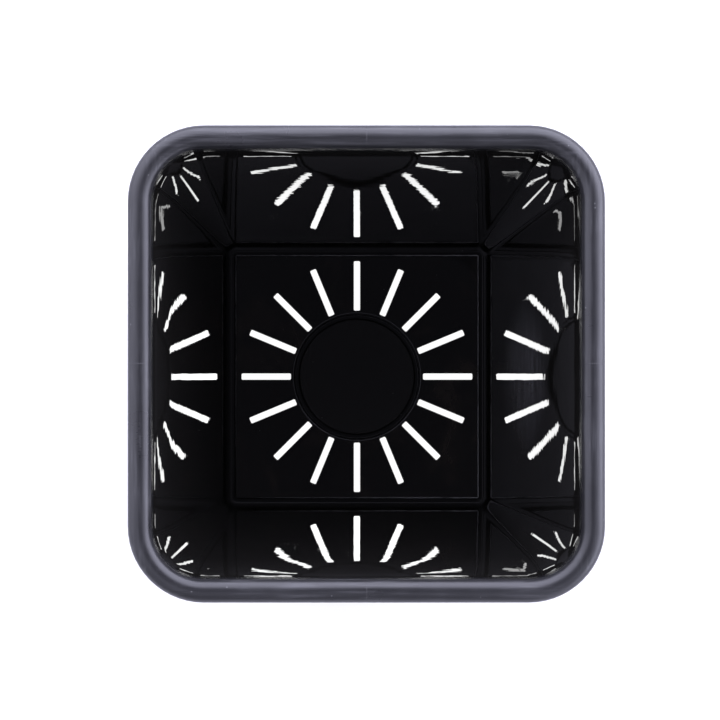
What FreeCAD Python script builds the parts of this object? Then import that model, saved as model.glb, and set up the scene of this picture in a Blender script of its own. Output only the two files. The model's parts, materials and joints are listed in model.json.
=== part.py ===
import FreeCAD, Part
import math
import os

# A square plant pot, moulded in one piece: rolled rim, tapered walls that flare towards the rim, a hollow
# foot all round, and a raised floor with a round hollow foot in it and a ring of radial drainage slots.
# Millimetres, +Z up. The origin is on the surface that the foot stands on, below the middle of the pot.

# Overall
rim_width = 250.0           # across the rim, at its widest
pot_height = 255.0
wall_thickness = 1.2        # the same all over: floor, foot, walls and rim

# Walls: straight up to the flare, then turning gently outwards
wall_draft = 4.9            # degrees from the vertical
flare_draft = 7.7           # degrees from the vertical, just under the rim
flare_length = 44.0         # the height over which the draft changes
flare_to_crown = 6.0        # from the end of the flare up to the crown, more than the lip takes up

# Rolled rim: lip, narrow crown and rounded edge, with a skirt that hangs clear of the wall
rim_band = 12.0             # from the widest point to the inner face of the wall
lip_radius = 5.5
rim_edge_radius = 6.5
skirt_depth = 15.0
skirt_draft = 1.0           # degrees from the vertical, outwards going down

# Hollow foot: a channel between the wall and the raised floor
floor_height = 7.0          # top of the raised floor
channel_width = 4.3         # at the level of the floor
channel_draft = 5.0         # degrees from the vertical, on the floor's side, and in the round foot
foot_edge_radius = 1.2
floor_edge_radius = 0.9
floor_corner_radius = 1.2

# Round foot: a second channel in the floor, as deep as the first
round_foot_radius = 44.5    # of its outer side, at the level of the floor
round_foot_width = 3.9      # at the level of the floor
round_foot_flat = 0.5       # taken off both its upper edges

# Drainage slots, from just outside the round foot to just inside the floor's edge
slot_count = 16
slot_width = 4.4
slot_to_round_foot = 2.2
slot_to_floor_edge = 4.5


def slope(degrees):
    """Sideways run for each millimetre of height."""
    return math.tan(math.radians(degrees))


# Half widths of the inner face, measured from the middle of the pot
rim_half = rim_width / 2
lip_half = rim_half - rim_band
crown_half = rim_half - skirt_depth * slope(skirt_draft)
skirt_end = pot_height - skirt_depth
flare_middle = pot_height - flare_to_crown - flare_length / 2
flare_half = lip_half - (pot_height - flare_middle) * slope(flare_draft)
wall_half_at_floor = flare_half - (flare_middle - floor_height) * slope(wall_draft)
channel_depth = floor_height - wall_thickness
wall_half_in_channel = wall_half_at_floor - channel_depth * slope(wall_draft)
floor_half = wall_half_at_floor - channel_width
floor_half_in_channel = floor_half + channel_depth * slope(channel_draft)

# All corners of the pot, from the floor's to the rim's, turn about the same four upright axes
corner_axis = floor_half - floor_corner_radius


def unit(start, end):
    """Unit vector from one point of an outline to another."""
    length = math.hypot(end[0] - start[0], end[1] - start[1])
    return (end[0] - start[0]) / length, (end[1] - start[1]) / length


def offset_corner(before, corner, after, distance):
    """The corner that a path has when it runs at a distance to the right of the given one."""
    ax, az = unit(before, corner)
    bx, bz = unit(corner, after)
    reach = distance / (1 + ax * bx + az * bz)
    return corner[0] + (az + bz) * reach, corner[1] - (ax + bx) * reach


def bend(before, corner, after, kind, size):
    """Start and end of a bend at a corner, and the curve between them if it has one.

    An arc is given by its radius. A flat and an ease, which is a gentle parabola, are given by how far
    they reach from the corner.
    """
    ax, az = unit(corner, before)
    bx, bz = unit(corner, after)
    half_angle = math.acos(max(-1.0, min(1.0, ax * bx + az * bz))) / 2
    reach = size / math.tan(half_angle) if kind == "arc" else size
    tip = FreeCAD.Vector(corner[0], 0, corner[1])
    start = FreeCAD.Vector(corner[0] + ax * reach, 0, corner[1] + az * reach)
    end = FreeCAD.Vector(corner[0] + bx * reach, 0, corner[1] + bz * reach)
    if size == 0:
        return start, end, None
    if kind == "flat":
        return start, end, Part.LineSegment(start, end)
    if kind == "ease":
        curve = Part.BezierCurve()
        curve.setPoles([start, tip, end])
        return start, end, curve
    inwards_x, inwards_z = unit((0, 0), (ax + bx, az + bz))
    depth = size / math.sin(half_angle) - size
    middle = FreeCAD.Vector(corner[0] + inwards_x * depth, 0, corner[1] + inwards_z * depth)
    return start, end, Part.Arc(start, middle, end)


def outline(corners):
    """Face in the XZ plane through corners (x, z, kind of bend, size of bend)."""
    bends = []
    for i, (x, z, kind, size) in enumerate(corners):
        before = corners[i - 1][:2]
        after = corners[(i + 1) % len(corners)][:2]
        bends.append(bend(before, (x, z), after, kind, size))
    edges = []
    for i, (start, end, curve) in enumerate(bends):
        if curve:
            edges.append(curve.toShape())
        edges.append(Part.LineSegment(end, bends[(i + 1) % len(bends)][0]).toShape())
    return Part.Face(Part.Wire(edges))


def sheet_section(upper_face, lower_bends):
    """Section of the moulded sheet, from the corners of its upper face and the bends of its lower one."""
    # the path is carried straight on at both ends, so that the sheet is cut off square there
    x, z = upper_face[0][:2]
    along_x, along_z = unit(upper_face[0], upper_face[1])
    path = [(x - along_x, z - along_z)] + [corner[:2] for corner in upper_face]
    x, z = upper_face[-1][:2]
    along_x, along_z = unit(upper_face[-2], upper_face[-1])
    path.append((x + along_x, z + along_z))
    lower_face = []
    for i, kind in enumerate(lower_bends):
        lower_face.append(offset_corner(path[i], path[i + 1], path[i + 2], wall_thickness) + kind)
    return outline(upper_face + lower_face[::-1])


def underside_flat(upper_radius):
    """Reach of the flat below a rounded bend that keeps the sheet about as thick there as elsewhere."""
    return 0.62 * (upper_radius - wall_thickness)


def wall_section():
    """Section from the floor's edge through the foot and the wall to the end of the rim's skirt."""
    upper_face = [
        (corner_axis, floor_height, "arc", 0),
        (floor_half, floor_height, "arc", floor_edge_radius),
        (floor_half_in_channel, wall_thickness, "arc", 0),
        (wall_half_in_channel, wall_thickness, "arc", 0),
        (flare_half, flare_middle, "ease", flare_length / 2),
        (lip_half, pot_height, "arc", lip_radius),
        (crown_half, pot_height, "arc", rim_edge_radius),
        (rim_half, skirt_end, "arc", 0),
    ]
    lower_bends = [
        ("arc", 0),
        ("arc", 0),
        ("arc", 0),
        ("arc", foot_edge_radius),
        ("ease", flare_length / 2),
        ("flat", underside_flat(lip_radius)),
        ("flat", underside_flat(rim_edge_radius)),
        ("arc", 0),
    ]
    return sheet_section(upper_face, lower_bends)


def round_foot_section():
    """Section from the middle of the floor through the round foot to just outside it."""
    outer = round_foot_radius
    inner = round_foot_radius - round_foot_width
    narrowing = channel_depth * slope(channel_draft)
    upper_face = [
        (0, floor_height, "arc", 0),
        (inner, floor_height, "flat", round_foot_flat),
        (inner + narrowing, wall_thickness, "arc", 0),
        (outer - narrowing, wall_thickness, "arc", 0),
        (outer, floor_height, "flat", round_foot_flat),
        (outer + wall_thickness, floor_height, "arc", 0),
    ]
    return sheet_section(upper_face, [("arc", 0)] * len(upper_face))


def shell():
    """The pot without its slots: one section run along four sides and round four corners, and the floor."""
    centre = FreeCAD.Vector(0, 0, 0)
    up = FreeCAD.Vector(0, 0, 1)
    side = wall_section().translated(FreeCAD.Vector(0, -corner_axis, 0))
    side = side.extrude(FreeCAD.Vector(0, 2 * corner_axis, 0))
    turn = wall_section().translated(FreeCAD.Vector(0, corner_axis, 0))
    turn = turn.revolve(FreeCAD.Vector(corner_axis, corner_axis, 0), up, 90)
    pieces = []
    for quarter in range(4):
        for piece in (side, turn):
            copy = piece.copy()
            copy.rotate(centre, up, 90 * quarter)
            pieces.append(copy)
    floor_under = floor_height - wall_thickness
    corner = FreeCAD.Vector(-corner_axis, -corner_axis, floor_under)
    floor = Part.makeBox(2 * corner_axis, 2 * corner_axis, wall_thickness, corner)
    opening = round_foot_radius + wall_thickness
    hole = Part.makeCylinder(opening, 3 * wall_thickness, FreeCAD.Vector(0, 0, floor_under - wall_thickness))
    pieces.append(round_foot_section().revolve(centre, up, 360))
    return floor.cut(hole).fuse(pieces)


def cut_slots(body):
    """Cut the ring of radial slots through the floor."""
    inner_end = round_foot_radius + slot_to_round_foot
    outer_end = floor_half - slot_to_floor_edge
    half = slot_width / 2
    corner = FreeCAD.Vector(inner_end, -half, floor_height - 2 * wall_thickness)
    slot = Part.makeBox(outer_end - inner_end, slot_width, 3 * wall_thickness, corner)
    slots = []
    for i in range(slot_count):
        copy = slot.copy()
        copy.rotate(FreeCAD.Vector(0, 0, 0), FreeCAD.Vector(0, 0, 1), 360.0 * i / slot_count)
        slots.append(copy)
    return body.cut(slots)


pot = cut_slots(shell().removeSplitter())

os.makedirs("parts", exist_ok=True)
pot.exportStep("parts/pot.step")
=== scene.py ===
import bmesh
import bpy
import json
import math
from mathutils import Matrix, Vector

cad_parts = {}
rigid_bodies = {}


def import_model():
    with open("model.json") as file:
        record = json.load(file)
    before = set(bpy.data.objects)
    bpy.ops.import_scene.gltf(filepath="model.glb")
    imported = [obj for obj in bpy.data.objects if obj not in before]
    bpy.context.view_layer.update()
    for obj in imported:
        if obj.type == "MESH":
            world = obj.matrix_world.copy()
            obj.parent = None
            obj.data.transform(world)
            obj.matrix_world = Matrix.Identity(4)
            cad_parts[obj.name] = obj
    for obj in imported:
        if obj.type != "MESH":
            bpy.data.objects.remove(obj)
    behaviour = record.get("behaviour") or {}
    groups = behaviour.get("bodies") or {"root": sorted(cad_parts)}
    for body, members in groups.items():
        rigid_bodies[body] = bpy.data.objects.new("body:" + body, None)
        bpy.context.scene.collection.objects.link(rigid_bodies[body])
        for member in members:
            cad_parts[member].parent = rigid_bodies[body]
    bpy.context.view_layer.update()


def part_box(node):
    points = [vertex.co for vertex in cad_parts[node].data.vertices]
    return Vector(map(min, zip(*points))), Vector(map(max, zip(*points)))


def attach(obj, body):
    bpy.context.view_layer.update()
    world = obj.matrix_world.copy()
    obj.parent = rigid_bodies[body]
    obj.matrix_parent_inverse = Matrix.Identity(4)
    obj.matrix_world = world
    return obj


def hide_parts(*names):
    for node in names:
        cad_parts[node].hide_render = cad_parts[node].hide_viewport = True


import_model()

# A square black plant pot, moulded in one piece, seen from above. Metres, +Z up, the foot on z = 0.

pot_low, pot_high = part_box("pot")

# Overall size, from the frame
rim_half = pot_high[0]
pot_height = pot_high[2]

# The moulded sheet
sheet = 0.0012
wall_draft = math.radians(4.9)
flare_draft = math.radians(7.7)
flare_length = 0.044
flare_to_crown = 0.006
rim_band = 0.012
lip_radius = 0.0055
rim_edge_radius = 0.0065
skirt_depth = 0.015
skirt_draft = math.radians(1.0)
skirt_end_radius = 0.0005
floor_height = 0.007
channel_width = 0.0043
channel_draft = math.radians(5.0)
channel_radius = 0.0006
floor_edge_radius = 0.0009
floor_corner_radius = 0.0012

# Round foot and slots
round_foot_radius = 0.0445
round_foot_width = 0.0039
slot_count = 16
slot_width = 0.0044
slot_corner_radius = 0.0009
slot_edge_radius = 0.0002
slot_to_round_foot = 0.0022
slot_to_floor_edge = 0.0045

# Finish of the inner face, where heights are measured down from the crown
polish_end = 0.0045
satin_start = 0.0104
satin_full = 0.0054
lean_start = 0.0185
lean_end = -0.0085
lean_depth = 0.0007
# The middle disc, coloured lighter than the floor round it
lighter_disc_radius = 0.040
lighter_disc_softness = 0.001
# How far in from the raised floor's edge its painted highlight runs
edge_highlight_inset = 0.0003

# How rough the plastic is, and how much it bends light
polish_roughness = 0.012
polish_roughness_at_lip = 0.20
satin_roughness = 0.22
satin_roughness_in_clouds = 0.16
plastic_ior = 1.52

# How deep the marks in the plastic are
ripple_depth = 0.00005
tool_mark_depth = 0.000023
grain_depth = 0.0000006
satin_ripple_depth = 0.00006
satin_grain_depth = 0.00001
seam_depth = 0.00008

# Studio: the white floor, the sheet of light under the slots, and the light from each direction
paper_size = 8.0
paper_grey = (0.6, 0.6, 0.6, 1)
paper_glow = 0.45
table_margin = 0.002
table_height = 0.0003
table_extra_strength = 2.5
side_light = 1.11
side_light_from_back = 0.91
side_light_from_right = 1.275
side_light_at_sides = 0.595
ceiling_light = 1.35
ceiling_light_overhead = 0.055
ceiling_light_from_back = 0.8
bluish_light = (0.95, 0.95, 1.18, 1)
white = (1, 1, 1, 1)

# Camera, with shifts as shares of the picture's width
camera_place = (-0.0189, -0.0253, 0.9377)
camera_lens = 65.835
camera_shift_right = 0.04135
camera_shift_up = 0.07275

# How finely the pot is divided: along a side, round a corner, and up the wall
side_steps = 32
corner_steps = 14
wall_steps = 24

# Half widths of the inner face
crown_half = rim_half - skirt_depth * math.tan(skirt_draft)
lip_half = rim_half - rim_band
skirt_end = pot_height - skirt_depth
flare_middle = pot_height - flare_to_crown - flare_length / 2
flare_half = lip_half - (pot_height - flare_middle) * math.tan(flare_draft)
wall_half = flare_half - (flare_middle - floor_height) * math.tan(wall_draft)
channel_depth = floor_height - sheet
wall_half_in_channel = wall_half - channel_depth * math.tan(wall_draft)
floor_half = wall_half - channel_width
floor_half_in_channel = floor_half + channel_depth * math.tan(channel_draft)

# Every corner of the pot turns about the same four upright axes
corner_axis = floor_half - floor_corner_radius


# Modelling helpers

def make_active(piece):
    bpy.ops.object.select_all(action="DESELECT")
    piece.select_set(True)
    bpy.context.view_layer.objects.active = piece


def start_point(name, place):
    """A new piece, in edit mode: a plane merged to one point at the place."""
    bpy.ops.object.select_all(action="DESELECT")
    bpy.ops.mesh.primitive_plane_add(size=0.01)
    piece = bpy.context.object
    piece.name = name
    bpy.ops.object.mode_set(mode="EDIT")
    bpy.ops.mesh.select_mode(type="VERT")
    bpy.ops.mesh.select_all(action="SELECT")
    bpy.ops.mesh.merge(type="CENTER")
    bpy.ops.transform.translate(value=place)
    return piece


def select_where(piece, part, test):
    """In edit mode, select the vertices, edges or faces that pass the test."""
    bpy.ops.mesh.select_mode(type={"verts": "VERT", "edges": "EDGE", "faces": "FACE"}[part])
    bpy.ops.mesh.select_all(action="DESELECT")
    grid = bmesh.from_edit_mesh(piece.data)
    for element in getattr(grid, part):
        element.select = test(element)
    grid.select_flush_mode()
    bmesh.update_edit_mesh(piece.data)


def draw_section(name, corners):
    """A chain of edges through corners (place, radius, steps), each corner rounded to its radius."""
    places = [place for place, radius, steps in corners]
    piece = start_point(name, places[0])
    for before, after in zip(places, places[1:]):
        bpy.ops.mesh.extrude_region_move(TRANSFORM_OT_translate={"value": after - before})
    for i, (place, radius, steps) in enumerate(corners):
        if radius == 0:
            continue
        half_angle = (places[i - 1] - place).angle(places[i + 1] - place) / 2
        reach = radius / math.tan(half_angle)
        select_where(piece, "verts", lambda vertex: (vertex.co - place).length < 1e-6)
        bpy.ops.mesh.bevel(offset=reach, segments=steps, profile=0.5, affect="VERTICES")
    return piece


def offset_path(path, distance):
    """The path moved to its right, in the XZ plane."""
    moved = []
    for i, place in enumerate(path):
        leaving = (path[i + 1] - place if i + 1 < len(path) else place - path[i - 1]).normalized()
        arriving = (place - path[i - 1]).normalized() if i else leaving
        right = Vector((arriving.z + leaving.z, 0, -arriving.x - leaving.x))
        moved.append(place + right * distance / (1 + arriving.dot(leaving)))
    return moved


def both_faces(rows):
    """Corners of the sheet's two faces, from rows (x, z, upper radius, lower radius, steps)."""
    across, up, upper_radii, lower_radii, steps = zip(*rows)
    path = [Vector((x, 0, z)) for x, z in zip(across, up)]
    upper_face = list(zip(path, upper_radii, steps))
    lower_face = list(zip(offset_path(path, sheet), lower_radii, steps))
    return upper_face, lower_face


# The shell: one section of the sheet, run along four sides and round four corners

def model_shell():
    """The pot with a square hole in its floor, where the round foot will be."""
    flare_radius = flare_length / 2 / math.tan((flare_draft - wall_draft) / 2)
    upper_face, lower_face = both_faces([
        (corner_axis, floor_height, 0, 0, 0),
        (floor_half, floor_height, floor_edge_radius, 0, 5),
        (floor_half_in_channel, sheet, channel_radius, channel_radius + sheet, 4),
        (wall_half_in_channel, sheet, channel_radius, channel_radius + sheet, 4),
        (flare_half, flare_middle, flare_radius, flare_radius, 10),
        (lip_half, pot_height, lip_radius, lip_radius - sheet, 9),
        (crown_half, pot_height, rim_edge_radius, rim_edge_radius - sheet, 10),
        (rim_half, skirt_end, skirt_end_radius, skirt_end_radius, 3),
    ])
    shell = draw_section("plant_pot", upper_face + lower_face[::-1])
    # the wall's two faces are the only long edges of the section
    select_where(shell, "edges", lambda edge: edge.calc_length() > pot_height / 2)
    bpy.ops.mesh.subdivide(number_cuts=wall_steps - 1)
    bpy.ops.mesh.select_all(action="SELECT")
    bpy.ops.transform.translate(value=(0, -corner_axis, 0))
    step = 2 * corner_axis / side_steps
    for quarter in range(4):
        across = math.cos(quarter * math.pi / 2)
        along = math.sin(quarter * math.pi / 2)
        stride = {"value": (-along * step, across * step, 0)}
        for i in range(side_steps):
            bpy.ops.mesh.extrude_region_move(TRANSFORM_OT_translate=stride)
        axis_place = ((across - along) * corner_axis, (along + across) * corner_axis, 0)
        bpy.ops.mesh.spin(steps=corner_steps, angle=-math.pi / 2, center=axis_place, axis=(0, 0, 1))
    bpy.ops.mesh.select_all(action="SELECT")
    bpy.ops.mesh.remove_doubles(threshold=1e-6)
    bpy.ops.object.mode_set(mode="OBJECT")
    return shell


# The round foot: each face of the sheet turned about the pot's axis, then bridged to the floor

def model_round_foot():
    """The upper and the lower face of the middle of the floor, as two pieces."""
    outer = round_foot_radius
    inner = round_foot_radius - round_foot_width
    narrowing = channel_depth * math.tan(channel_draft)
    faces = both_faces([
        (0.0, floor_height, 0, 0, 0),
        (inner, floor_height, floor_edge_radius, 0, 5),
        (inner + narrowing, sheet, channel_radius, channel_radius + sheet, 4),
        (outer - narrowing, sheet, channel_radius, channel_radius + sheet, 4),
        (outer, floor_height, floor_edge_radius, 0, 5),
        (outer + sheet, floor_height, 0, 0, 0),
    ])
    pieces = []
    for name, corners in zip(("round_foot_upper", "round_foot_lower"), faces):
        piece = draw_section(name, corners)
        bpy.ops.mesh.select_all(action="SELECT")
        bpy.ops.mesh.spin(steps=4 * side_steps, angle=2 * math.pi, center=(0, 0, 0), axis=(0, 0, 1))
        bpy.ops.mesh.select_all(action="SELECT")
        bpy.ops.mesh.remove_doubles(threshold=1e-6)
        bpy.ops.object.mode_set(mode="OBJECT")
        pieces.append(piece)
    return pieces


def lies_at(edge, levels):
    """Whether each end of an edge is at one of the levels."""
    return all(min(abs(vertex.co.z - level) for level in levels) < 1e-5 for vertex in edge.verts)


def join_round_foot(pot, faces):
    """Bridge the floor to the round foot, held clear above it, then lower the foot into place."""
    lift = Vector((0, 0, 0.05))
    make_active(pot)
    for piece in faces:
        piece.location = lift
        piece.select_set(True)
    bpy.ops.object.join()
    bpy.ops.object.mode_set(mode="EDIT")
    for level in (floor_height, floor_height - sheet):
        levels = (level, level + lift.z)
        select_where(pot, "edges", lambda edge: edge.is_boundary and lies_at(edge, levels))
        bpy.ops.mesh.bridge_edge_loops()
    between = (round_foot_radius + corner_axis) / 2
    select_where(pot, "verts", lambda vertex: vertex.co.xy.length < between)
    bpy.ops.transform.translate(value=-lift)
    bpy.ops.mesh.select_all(action="SELECT")
    bpy.ops.mesh.normals_make_consistent(inside=False)
    bpy.ops.object.mode_set(mode="OBJECT")


# The slots: one cutter with rounded corners and a softened upper edge, copied round the floor

def model_slot_cutter():
    first = round_foot_radius + slot_to_round_foot
    last = floor_half - slot_to_floor_edge
    middle = (first + last) / 2
    bpy.ops.object.select_all(action="DESELECT")
    bpy.ops.mesh.primitive_plane_add(size=1.0, location=(middle, 0, floor_height - 2 * sheet))
    cutter = bpy.context.object
    bpy.ops.object.mode_set(mode="EDIT")
    bpy.ops.mesh.select_mode(type="VERT")
    bpy.ops.mesh.select_all(action="SELECT")
    length = last - first
    bpy.ops.transform.resize(value=(length, slot_width, 1))
    bpy.ops.mesh.bevel(offset=slot_corner_radius, segments=5, profile=0.5, affect="VERTICES")
    bpy.ops.mesh.select_all(action="SELECT")
    rise = (0, 0, 2 * sheet - slot_edge_radius)
    bpy.ops.mesh.extrude_region_move(TRANSFORM_OT_translate={"value": rise})
    angles = [math.radians(degrees) for degrees in (0, 28, 56, 80)]
    grown = [slot_edge_radius * (1 - math.cos(angle)) for angle in angles]
    raised = [slot_edge_radius * math.sin(angle) for angle in angles]
    for i in range(1, len(angles)):
        rise = (0, 0, raised[i] - raised[i - 1])
        longer = (length + 2 * grown[i]) / (length + 2 * grown[i - 1])
        wider = (slot_width + 2 * grown[i]) / (slot_width + 2 * grown[i - 1])
        bpy.ops.mesh.extrude_region_move(TRANSFORM_OT_translate={"value": rise})
        bpy.ops.transform.resize(value=(longer, wider, 1))
    bpy.ops.mesh.extrude_region_move(TRANSFORM_OT_translate={"value": (0, 0, sheet)})
    bpy.ops.mesh.select_all(action="SELECT")
    bpy.ops.mesh.normals_make_consistent(inside=False)
    bpy.ops.object.mode_set(mode="OBJECT")
    bpy.ops.object.transform_apply(location=True, rotation=True, scale=True)
    return cutter


def cut_slots(pot):
    """Cut the slots with one cutter and its copies, joined into a single piece."""
    first_cutter = model_slot_cutter()
    cutters = [first_cutter]
    for i in range(1, slot_count):
        make_active(first_cutter)
        bpy.ops.object.duplicate()
        cutter = bpy.context.object
        cutter.rotation_euler.z = i * 2 * math.pi / slot_count
        bpy.ops.object.transform_apply(location=False, rotation=True, scale=False)
        cutters.append(cutter)
    make_active(first_cutter)
    for cutter in cutters:
        cutter.select_set(True)
    bpy.ops.object.join()
    cut = pot.modifiers.new("slots", "BOOLEAN")
    cut.operation = "DIFFERENCE"
    cut.solver = "EXACT"
    cut.object = first_cutter
    make_active(pot)
    bpy.ops.object.modifier_apply(modifier=cut.name)
    bpy.data.objects.remove(first_cutter)


def finish_mesh(pot):
    """Smooth shading over gentle bends, with the flat faces kept flat."""
    make_active(pot)
    bpy.ops.object.shade_smooth_by_angle(angle=math.radians(40))
    normals = pot.modifiers.new("flat_faces_stay_flat", "WEIGHTED_NORMAL")
    normals.keep_sharp = True
    normals.weight = 100
    bpy.ops.object.modifier_apply(modifier=normals.name)


# Shader helpers and groups

def add_node(tree, kind, **inputs):
    """A new node; inputs gives the values of its sockets, with spaces in their names as underscores."""
    node = tree.nodes.new("ShaderNode" + kind)
    for name, value in inputs.items():
        node.inputs[name.replace("_", " ")].default_value = value
    return node


def calculate(tree, operation, *values):
    """A Math node on numbers and outputs."""
    node = tree.nodes.new("ShaderNodeMath")
    node.operation = operation
    for socket, value in zip(node.inputs, values):
        if isinstance(value, (int, float)):
            socket.default_value = value
        else:
            tree.links.new(value, socket)
    return node.outputs["Value"]


def fade(tree, value, start, end, low=0.0, high=1.0):
    """A smooth step from low to high as value goes from start to end."""
    node = add_node(tree, "MapRange", From_Min=start, From_Max=end, To_Min=low, To_Max=high)
    node.interpolation_type = "SMOOTHSTEP"
    tree.links.new(value, node.inputs["Value"])
    return node.outputs["Result"]


def stretched(tree, position, scale, turn):
    """The position turned and scaled by a Mapping node, to draw a pattern out in one direction."""
    node = add_node(tree, "Mapping", Rotation=turn, Scale=scale)
    tree.links.new(position, node.inputs["Vector"])
    return node.outputs["Vector"]


def noise(tree, position, scale, detail):
    """A cloudy pattern between 0 and 1."""
    node = add_node(tree, "TexNoise", Scale=scale, Detail=detail)
    tree.links.new(position, node.inputs["Vector"])
    return node.outputs["Fac"]


def axes_of(tree, vector):
    """The X, Y and Z outputs of a vector."""
    node = add_node(tree, "SeparateXYZ")
    tree.links.new(vector, node.inputs["Vector"])
    return node.outputs


def length_of(tree, vector):
    """The length of a vector, as an output."""
    node = add_node(tree, "VectorMath")
    node.operation = "LENGTH"
    tree.links.new(vector, node.inputs[0])
    return node.outputs["Value"]


def new_group(name, values, result):
    """A shader group with a Position input, float inputs from values, and one float output."""
    group = bpy.data.node_groups.new(name, "ShaderNodeTree")
    group.interface.new_socket(name="Position", in_out="INPUT", socket_type="NodeSocketVector")
    for label, value in values.items():
        socket = group.interface.new_socket(name=label, in_out="INPUT", socket_type="NodeSocketFloat")
        socket.default_value = value
    group.interface.new_socket(name=result, in_out="OUTPUT", socket_type="NodeSocketFloat")
    given = group.nodes.new("NodeGroupInput").outputs
    return group, given, group.nodes.new("NodeGroupOutput").inputs[result]


def build_mould_grain():
    """The fine grain that a satin mould leaves."""
    group, given, result = new_group("mould_grain", {"Grains per Metre": 2500.0}, "Height")
    texture = add_node(group, "TexNoise", Detail=3.0, Roughness=0.6)
    group.links.new(given["Position"], texture.inputs["Vector"])
    group.links.new(given["Grains per Metre"], texture.inputs["Scale"])
    group.links.new(texture.outputs["Fac"], result)
    return group


def build_handling_scuffs():
    """Thin rubbed streaks in two directions, where Amount sets how many there are."""
    group, given, result = new_group("handling_scuffs", {"Amount": 0.3}, "Mask")
    masks = []
    for turn, scale in (((0.3, 0.2, 0.5), (400, 18, 18)), ((0.1, 0.4, 2.2), (16, 350, 16))):
        streaks = noise(group, stretched(group, given["Position"], scale, turn), 1.0, detail=3.0)
        patches = noise(group, given["Position"], 22.0 + turn[2], detail=1.0)
        both = calculate(group, "MULTIPLY", streaks, patches)
        limit = calculate(group, "SUBTRACT", 0.52, calculate(group, "MULTIPLY", given["Amount"], 0.3))
        above = calculate(group, "SUBTRACT", both, limit)
        masks.append(fade(group, above, -0.10, 0.16))
    group.links.new(calculate(group, "MAXIMUM", *masks), result)
    return group


def build_dust():
    """Specks of dust. Amount is the share of cells that hold one, and Size its part of a cell."""
    values = {"Specks per Metre": 150.0, "Size": 0.1, "Amount": 0.2}
    group, given, result = new_group("dust", values, "Mask")
    cells = add_node(group, "TexVoronoi")
    group.links.new(given["Position"], cells.inputs["Vector"])
    group.links.new(given["Specks per Metre"], cells.inputs["Scale"])
    near = calculate(group, "LESS_THAN", cells.outputs["Distance"], given["Size"])
    chosen = add_node(group, "SeparateColor")
    group.links.new(cells.outputs["Color"], chosen.inputs["Color"])
    kept = calculate(group, "LESS_THAN", chosen.outputs["Red"], given["Amount"])
    group.links.new(calculate(group, "MULTIPLY", near, kept), result)
    return group


def build_painted_edge_highlight():
    """A painted highlight along the rounded edge of the raised floor: a thin line round a square of Half
    Width, near the level Top.

    It is painted brightest at the right and back."""
    group, given, result = new_group("painted_edge_highlight", {"Half Width": 0.08, "Top": 0.007}, "Mask")
    place = axes_of(group, given["Position"])
    across = calculate(group, "ABSOLUTE", place["X"])
    along = calculate(group, "ABSOLUTE", place["Y"])
    reach = calculate(group, "SUBTRACT", calculate(group, "MAXIMUM", across, along), given["Half Width"])
    line = fade(group, calculate(group, "ABSOLUTE", reach), 0.0002, 0.0006, low=1.0, high=0.0)
    drop = calculate(group, "SUBTRACT", given["Top"], place["Z"])
    rounding = fade(group, drop, 0.0005, 0.0009, low=1.0, high=0.0)
    patchy = noise(group, given["Position"], 70.0, detail=3.0)
    patchy = fade(group, patchy, 0.35, 0.60, low=0.35, high=0.85)
    # The painted highlight grows brighter towards the right and the back
    backwards = calculate(group, "MULTIPLY", place["Y"], 0.5)
    aside = calculate(group, "MULTIPLY", calculate(group, "ADD", place["X"], backwards), 8.0)
    patchy = calculate(group, "MULTIPLY", patchy, calculate(group, "ADD", 1.0, aside))
    edge = calculate(group, "MULTIPLY", line, rounding)
    group.links.new(calculate(group, "MULTIPLY", edge, patchy), result)
    return group


def build_dried_marks():
    """Clouded marks left by dried water, only on faces near the level Top."""
    group, given, result = new_group("dried_marks", {"Marks per Metre": 24.0, "Top": 0.007}, "Mask")
    texture = add_node(group, "TexNoise", Detail=5.0, Roughness=0.62, Distortion=0.8)
    group.links.new(given["Position"], texture.inputs["Vector"])
    group.links.new(given["Marks per Metre"], texture.inputs["Scale"])
    cloud = fade(group, texture.outputs["Fac"], 0.50, 0.72)
    height = axes_of(group, given["Position"])["Z"]
    off = calculate(group, "ABSOLUTE", calculate(group, "SUBTRACT", height, given["Top"]))
    level = calculate(group, "LESS_THAN", off, 0.0002)
    group.links.new(calculate(group, "MULTIPLY", cloud, level), result)
    return group


def build_painted_wall_sheen():
    """A pale sheen painted round the middle of the right wall, where it shows more light, with streaks
    along it.
    """
    group, given, result = new_group("painted_wall_sheen", {"Streaks per Metre": 260.0}, "Mask")
    centred = add_node(group, "Mapping", Location=(-0.10, 0.002, -0.125))
    group.links.new(given["Position"], centred.inputs["Vector"])
    squeezed = stretched(group, centred.outputs["Vector"], (28.0, 19.0, 15.0), (0, 0, 0))
    patch = fade(group, length_of(group, squeezed), 0.3, 1.0, low=1.0, high=0.0)
    texture = add_node(group, "TexNoise", Detail=3.0)
    along_wall = stretched(group, given["Position"], (1.0, 0.12, 1.0), (0, 0, 0))
    group.links.new(along_wall, texture.inputs["Vector"])
    group.links.new(given["Streaks per Metre"], texture.inputs["Scale"])
    streaks = fade(group, texture.outputs["Fac"], 0.35, 0.65, low=0.25)
    group.links.new(calculate(group, "MULTIPLY", patch, streaks), result)
    return group


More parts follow.
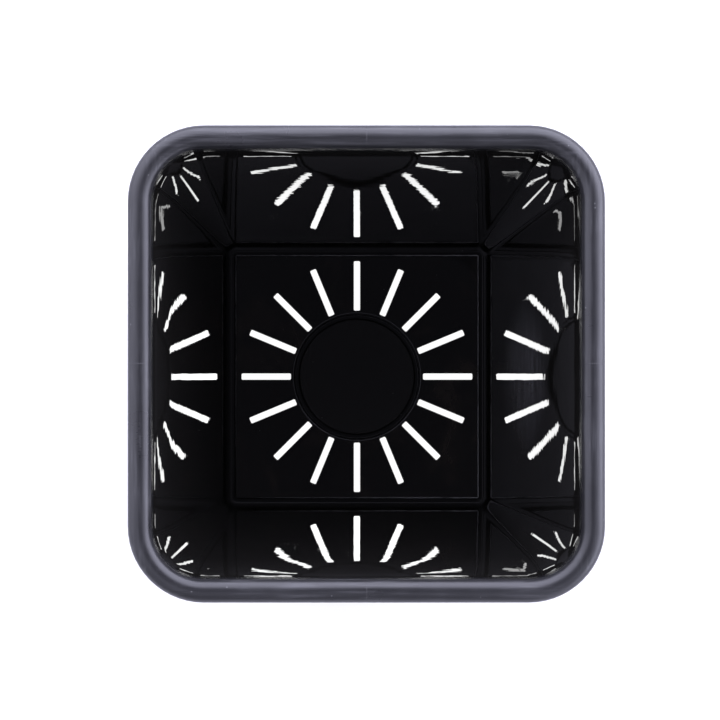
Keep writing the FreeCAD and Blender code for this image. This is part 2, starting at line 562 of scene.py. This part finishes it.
def build_rim_streaks():
    """Rubbed streaks that run along the sides of the rim, above the level Bottom."""
    group, given, result = new_group("rim_streaks", {"Streaks per Metre": 650.0, "Bottom": 0.24}, "Mask")
    place = axes_of(group, given["Position"])
    across = calculate(group, "ABSOLUTE", place["X"])
    along = calculate(group, "ABSOLUTE", place["Y"])
    at_the_sides = calculate(group, "GREATER_THAN", across, along)
    streaks = []
    for scale in ((0.05, 1.0, 1.0), (1.0, 0.05, 1.0)):
        texture = add_node(group, "TexNoise", Detail=3.0, Roughness=0.6)
        group.links.new(stretched(group, given["Position"], scale, (0, 0, 0)), texture.inputs["Vector"])
        group.links.new(given["Streaks per Metre"], texture.inputs["Scale"])
        streaks.append(texture.outputs["Fac"])
    difference = calculate(group, "SUBTRACT", streaks[1], streaks[0])
    chosen = calculate(group, "MULTIPLY", at_the_sides, difference)
    chosen = fade(group, calculate(group, "ADD", chosen, streaks[0]), 0.42, 0.72)
    patches = fade(group, noise(group, given["Position"], 32.0, detail=3.0), 0.40, 0.62, low=0.15)
    above = calculate(group, "GREATER_THAN", place["Z"], given["Bottom"])
    chosen = calculate(group, "MULTIPLY", chosen, patches)
    group.links.new(calculate(group, "MULTIPLY", chosen, above), result)
    return group


def build_mould_lines():
    """The fine seams that the mould leaves across the middle of each side."""
    group, given, result = new_group("mould_lines", {"Half Width": 0.0002}, "Height")
    place = axes_of(group, given["Position"])
    across = calculate(group, "ABSOLUTE", place["X"])
    along = calculate(group, "ABSOLUTE", place["Y"])
    nearest = calculate(group, "DIVIDE", calculate(group, "MINIMUM", across, along), given["Half Width"])
    group.links.new(fade(group, nearest, 0.0, 1.0, low=1.0, high=0.0), result)
    return group


def place_group(tree, group, position, **inputs):
    """The output of a group placed in a material; inputs is as for add_node."""
    node = tree.nodes.new("ShaderNodeGroup")
    node.node_tree = group
    for name, value in inputs.items():
        node.inputs[name.replace("_", " ")].default_value = value
    tree.links.new(position, node.inputs["Position"])
    return node.outputs[0]


def new_plastic(name):
    """A new material, its tree, its shader and its Object coordinates."""
    material = bpy.data.materials.new(name)
    material.use_nodes = True
    tree = material.node_tree
    position = tree.nodes.new("ShaderNodeTexCoord").outputs["Object"]
    return material, tree, tree.nodes["Principled BSDF"], position


def mix_colours(tree, factor, first, second):
    """A Mix node on colours; first and second are colours or outputs."""
    node = tree.nodes.new("ShaderNodeMix")
    node.data_type = "RGBA"
    tree.links.new(factor, node.inputs["Factor"])
    sockets = [socket for socket in node.inputs if socket.type == "RGBA"]
    for socket, value in zip(sockets, (first, second)):
        if isinstance(value, tuple):
            socket.default_value = value
        else:
            tree.links.new(value, socket)
    return next(socket for socket in node.outputs if socket.type == "RGBA")


def add_bumps(tree, shader, *bumps):
    """A chain of Bump nodes, each (height, distance), that ends in the shader's Normal."""
    normal = None
    for height, distance in bumps:
        bump = add_node(tree, "Bump", Strength=1.0, Distance=distance)
        tree.links.new(height, bump.inputs["Height"])
        if normal:
            tree.links.new(normal, bump.inputs["Normal"])
        normal = bump.outputs["Normal"]
    tree.links.new(normal, shader.inputs["Normal"])


mould_grain = build_mould_grain()
handling_scuffs = build_handling_scuffs()
dust = build_dust()
painted_edge_highlight = build_painted_edge_highlight()
dried_marks = build_dried_marks()
painted_wall_sheen = build_painted_wall_sheen()
rim_streaks = build_rim_streaks()
mould_lines = build_mould_lines()

black = (0.0085, 0.0081, 0.0072, 1)
black_deep = (0.0060, 0.0057, 0.0051, 1)
# A lighter colour for the middle disc than for the floor round it
lighter_disc_black = (0.0150, 0.0142, 0.0128, 1)
satin_black = (0.010, 0.010, 0.011, 1)
satin_black_worn = (0.026, 0.026, 0.028, 1)
dust_grey = (0.16, 0.16, 0.16, 1)
# Grey for the rubbed streaks on the rim, and for the painted sheen on the right wall
rubbed_and_sheen_grey = (0.12, 0.12, 0.125, 1)
# Painted highlight colour for the rounded edge of the raised floor
edge_highlight_grey = (0.30, 0.30, 0.30, 1)
dried_brown = (0.040, 0.030, 0.023, 1)


def build_polished_plastic():
    """The polished inner face, which leans out a little more and turns satin just below the lip."""
    material, tree, shader, position = new_plastic("polished_black_plastic")
    drop = calculate(tree, "SUBTRACT", pot_height, axes_of(tree, position)["Z"])
    near_lip = fade(tree, drop, satin_start, satin_full)
    lean = fade(tree, drop, lean_start, lean_end, low=1.0, high=0.0)
    scuffs = place_group(tree, handling_scuffs, position, Amount=0.25)
    specks = place_group(tree, dust, position, Specks_per_Metre=160.0, Size=0.07, Amount=0.10)
    cloud = noise(tree, position, 30.0, detail=3.0)
    colour = mix_colours(tree, cloud, black_deep, black)
    marks = place_group(tree, dried_marks, position, Top=floor_height)
    colour = mix_colours(tree, calculate(tree, "MULTIPLY", marks, 0.5), colour, dried_brown)
    # A pale sheen painted round the middle of the right wall, with streaks
    wall_sheen = place_group(tree, painted_wall_sheen, position)
    colour = mix_colours(tree, calculate(tree, "MULTIPLY", wall_sheen, 0.6), colour, rubbed_and_sheen_grey)
    # The middle disc coloured lighter than the floor round it
    off_axis = length_of(tree, stretched(tree, position, (1.0, 1.0, 0.0), (0, 0, 0)))
    disc_start = lighter_disc_radius - lighter_disc_softness
    disc = fade(tree, off_axis, disc_start, lighter_disc_radius, low=1.0, high=0.0)
    colour = mix_colours(tree, disc, colour, lighter_disc_black)
    # A highlight painted along the rounded edge of the raised floor, brightest at the right and back
    edge_highlight_line = floor_half - edge_highlight_inset
    edge = place_group(tree, painted_edge_highlight, position, Half_Width=edge_highlight_line, Top=floor_height)
    colour = mix_colours(tree, edge, colour, edge_highlight_grey)
    colour = mix_colours(tree, near_lip, colour, satin_black)
    colour = mix_colours(tree, calculate(tree, "MULTIPLY", specks, 0.25), colour, dust_grey)
    tree.links.new(colour, shader.inputs["Base Color"])
    rough = calculate(tree, "MULTIPLY", near_lip, polish_roughness_at_lip)
    rough = calculate(tree, "ADD", polish_roughness, rough)
    rough = calculate(tree, "ADD", rough, calculate(tree, "MULTIPLY", scuffs, 0.18))
    tree.links.new(rough, shader.inputs["Roughness"])
    shader.inputs["IOR"].default_value = plastic_ior
    ripple = noise(tree, stretched(tree, position, (1.0, 1.0, 0.5), (0, 0, 0)), 70.0, detail=1.0)
    tool_marks = noise(tree, stretched(tree, position, (0.45, 0.45, 1.0), (0, 0, 0)), 240.0, detail=1.2)
    grain = place_group(tree, mould_grain, position, Grains_per_Metre=1800.0)
    add_bumps(tree, shader, (lean, lean_depth), (ripple, ripple_depth), (tool_marks, tool_mark_depth),
              (grain, grain_depth))
    return material


def build_satin_plastic():
    """The satin rim, outer face and underside."""
    material, tree, shader, position = new_plastic("satin_black_plastic")
    scuffs = place_group(tree, handling_scuffs, position, Amount=0.45)
    specks = place_group(tree, dust, position, Specks_per_Metre=220.0, Size=0.10, Amount=0.08)
    cloud = noise(tree, position, 45.0, detail=4.0)
    on_rim = fade(tree, axes_of(tree, position)["Z"], skirt_end - 0.004, skirt_end, low=0.15)
    handled = calculate(tree, "MULTIPLY", cloud, on_rim)
    colour = mix_colours(tree, handled, satin_black, satin_black_worn)
    streaks = place_group(tree, rim_streaks, position, Bottom=skirt_end)
    colour = mix_colours(tree, calculate(tree, "MULTIPLY", streaks, 0.3), colour, rubbed_and_sheen_grey)
    colour = mix_colours(tree, calculate(tree, "MULTIPLY", specks, 0.5), colour, dust_grey)
    tree.links.new(colour, shader.inputs["Base Color"])
    rough = calculate(tree, "MULTIPLY", cloud, satin_roughness_in_clouds)
    rough = calculate(tree, "ADD", satin_roughness, rough)
    rough = calculate(tree, "SUBTRACT", rough, calculate(tree, "MULTIPLY", scuffs, 0.04))
    tree.links.new(rough, shader.inputs["Roughness"])
    shader.inputs["IOR"].default_value = plastic_ior
    grain = place_group(tree, mould_grain, position, Grains_per_Metre=2600.0)
    ripple = noise(tree, position, 120.0, detail=1.0)
    seams = place_group(tree, mould_lines, position)
    add_bumps(tree, shader, (ripple, satin_ripple_depth), (seams, seam_depth), (grain, satin_grain_depth))
    return material


def finish_faces(pot, satin, polished):
    """Satin all over, then polished on the inner face up to the lip, before slots join the two faces."""
    pot.data.materials.append(satin)
    pot.data.materials.append(polished)
    make_active(pot)
    bpy.ops.object.mode_set(mode="EDIT")
    select_where(pot, "faces", lambda face: face.calc_center_median().z > pot_height - polish_end)
    bpy.ops.mesh.hide(unselected=False)
    middle = Vector((0, 0, floor_height))
    select_where(pot, "verts", lambda vertex: (vertex.co - middle).length < 1e-6)
    bpy.ops.mesh.select_linked()
    pot.active_material_index = 1
    bpy.ops.object.material_slot_assign()
    bpy.ops.mesh.reveal(select=False)
    bpy.ops.object.mode_set(mode="OBJECT")


pot = model_shell()
join_round_foot(pot, model_round_foot())
finish_faces(pot, build_satin_plastic(), build_polished_plastic())
cut_slots(pot)
finish_mesh(pot)

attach(pot, "root")
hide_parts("pot")


# Studio: a white floor, soft light from the ceiling and the sides, and a sheet of light under the slots

def build_floor():
    """Pale paper that glows for the camera alone, so that it shows white."""
    bpy.ops.object.select_all(action="DESELECT")
    bpy.ops.mesh.primitive_plane_add(size=paper_size)
    floor = bpy.context.object
    floor.name = "white_floor"
    material = bpy.data.materials.new("white_paper")
    material.use_nodes = True
    tree = material.node_tree
    tree.nodes.clear()
    paper = add_node(tree, "BsdfDiffuse", Color=paper_grey)
    glow = add_node(tree, "Emission", Color=white)
    path = tree.nodes.new("ShaderNodeLightPath")
    seen = calculate(tree, "MULTIPLY", path.outputs["Is Camera Ray"], paper_glow)
    tree.links.new(seen, glow.inputs["Strength"])
    both = tree.nodes.new("ShaderNodeAddShader")
    tree.links.new(paper.outputs[0], both.inputs[0])
    tree.links.new(glow.outputs[0], both.inputs[1])
    tree.links.new(both.outputs[0], tree.nodes.new("ShaderNodeOutputMaterial").inputs["Surface"])
    floor.data.materials.append(material)


def build_surroundings():
    """White for the camera; otherwise a pale ceiling, dark overhead, and soft light from the sides.

    The sides are brightest at the right and back. Up is the sine of the elevation."""
    world = bpy.data.worlds.new("studio")
    bpy.context.scene.world = world
    world.use_nodes = True
    tree = world.node_tree
    tree.nodes.clear()
    right, back, up = axes_of(tree, tree.nodes.new("ShaderNodeTexCoord").outputs["Generated"])
    both_sides = calculate(tree, "ABSOLUTE", right)
    side = calculate(tree, "ADD", side_light, calculate(tree, "MULTIPLY", back, side_light_from_back))
    side = calculate(tree, "ADD", side, calculate(tree, "MULTIPLY", right, side_light_from_right))
    side = calculate(tree, "ADD", side, calculate(tree, "MULTIPLY", both_sides, side_light_at_sides))
    lower_in_front = calculate(tree, "SUBTRACT", up, calculate(tree, "MULTIPLY", back, 0.4))
    side = calculate(tree, "MULTIPLY", side, fade(tree, lower_in_front, 0.85, 0.45))
    ceiling = calculate(tree, "ADD", 1.0, calculate(tree, "MULTIPLY", back, ceiling_light_from_back))
    overhead = calculate(tree, "MULTIPLY", calculate(tree, "ADD", back, right), 0.042)
    overhead = calculate(tree, "ADD", up, overhead)
    opening = fade(tree, overhead, 0.980, 0.850, low=ceiling_light_overhead, high=ceiling_light)
    ceiling = calculate(tree, "MULTIPLY", ceiling, opening)
    level = calculate(tree, "ADD", ceiling, side)
    path = tree.nodes.new("ShaderNodeLightPath")
    seen = path.outputs["Is Camera Ray"]
    unseen = calculate(tree, "SUBTRACT", 1.0, seen)
    strength = calculate(tree, "ADD", calculate(tree, "MULTIPLY", level, unseen), seen)
    background = tree.nodes.new("ShaderNodeBackground")
    colour = mix_colours(tree, seen, bluish_light, white)
    tree.links.new(colour, background.inputs["Color"])
    tree.links.new(strength, background.inputs["Strength"])
    tree.links.new(background.outputs[0], tree.nodes.new("ShaderNodeOutputWorld").inputs["Surface"])


def build_light_table():
    """A sheet of light in the gap under the raised floor, which shines up through the slots.

    It is brighter to reflections than to the camera, for which white is a strength of 1."""
    bpy.ops.object.select_all(action="DESELECT")
    width = 2 * corner_axis - table_margin
    bpy.ops.mesh.primitive_plane_add(size=width, location=(0, 0, table_height))
    table = bpy.context.object
    table.name = "light_table"
    bpy.ops.object.transform_apply(location=True, rotation=False, scale=False)
    material = bpy.data.materials.new("light_table_glow")
    material.use_nodes = True
    tree = material.node_tree
    tree.nodes.clear()
    path = tree.nodes.new("ShaderNodeLightPath")
    unseen = calculate(tree, "SUBTRACT", 1.0, path.outputs["Is Camera Ray"])
    strength = calculate(tree, "ADD", calculate(tree, "MULTIPLY", unseen, table_extra_strength), 1.0)
    glow = add_node(tree, "Emission", Color=white)
    tree.links.new(strength, glow.inputs["Strength"])
    tree.links.new(glow.outputs[0], tree.nodes.new("ShaderNodeOutputMaterial").inputs["Surface"])
    table.data.materials.append(material)


def build_camera():
    """Straight above the pot, a little left of its middle and in front of it."""
    camera_data = bpy.data.cameras.new("camera")
    camera_data.sensor_width = 36
    camera_data.lens = camera_lens
    camera_data.shift_x = camera_shift_right
    camera_data.shift_y = camera_shift_up
    camera_data.clip_start = 0.01
    camera = bpy.data.objects.new("camera", camera_data)
    camera.location = camera_place
    bpy.context.collection.objects.link(camera)
    bpy.context.scene.camera = camera


build_floor()
build_surroundings()
build_light_table()
build_camera()
bpy.context.scene.view_settings.view_transform = "Standard"
